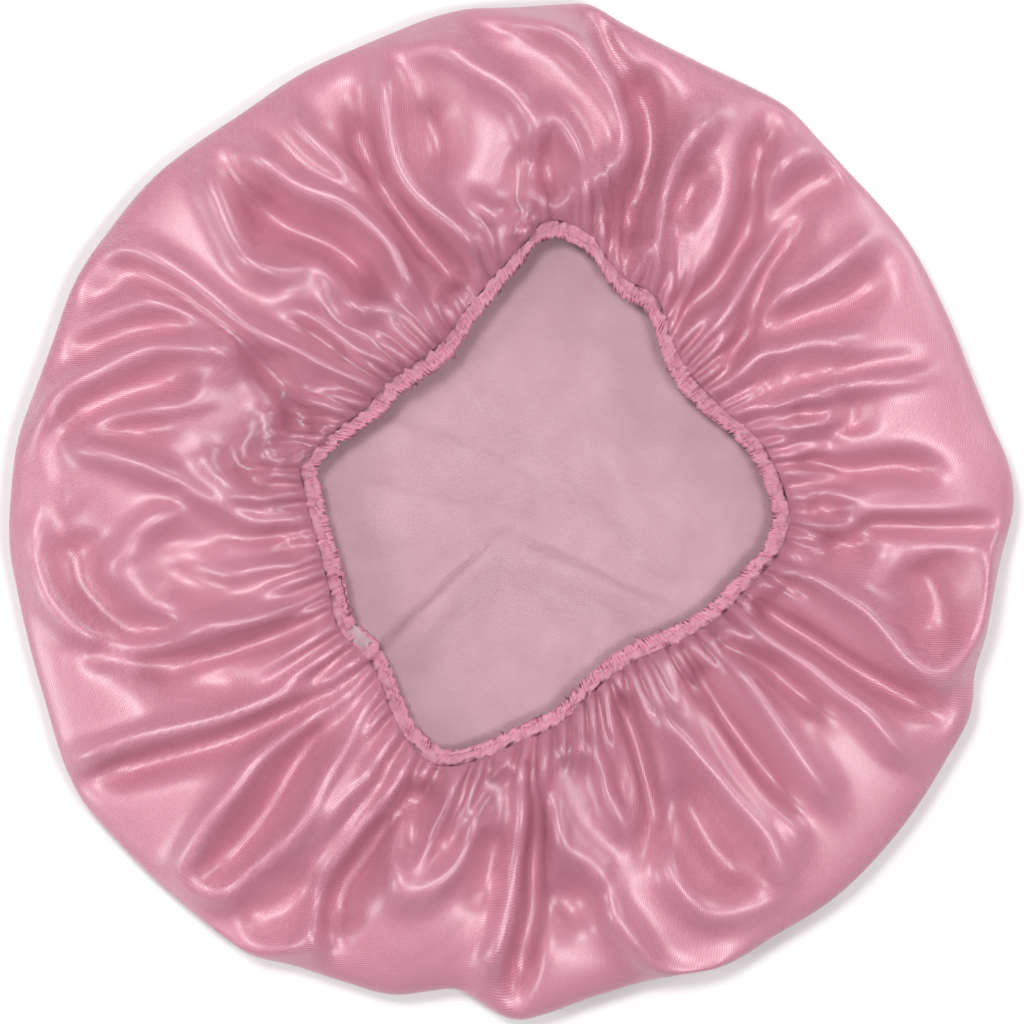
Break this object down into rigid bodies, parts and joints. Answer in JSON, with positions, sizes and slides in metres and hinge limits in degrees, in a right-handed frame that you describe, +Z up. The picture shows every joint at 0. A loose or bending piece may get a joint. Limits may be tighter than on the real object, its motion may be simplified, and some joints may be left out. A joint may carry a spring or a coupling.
{
  "type": "sleep bonnet",
  "caption": "Round satin sleep bonnet lying crown down: a flat panel turns over at the rim and comes back in gathered folds to an elastic mouth.",
  "frame": {"origin": "middle of the flat underside, on the surface that the bonnet lies on", "axes": "+Z up through the mouth, +X and +Y across the bonnet as seen in the picture, +X to the right and +Y to its top"},
  "size_m": [0.3513, 0.3563, 0.027],
  "materials": {
    "satin": "pink satin, glossy outside with a fine twill line, dull pale back",
    "gathered_edge": "overlocked and gathered satin edge, matt pink",
    "elastic": "off-white knitted elastic, matt"
  },
  "bodies": {
    "root": {"crown": "satin", "elastic_band": "gathered_edge", "elastic_end": "elastic"}
  },
  "joints": []
}
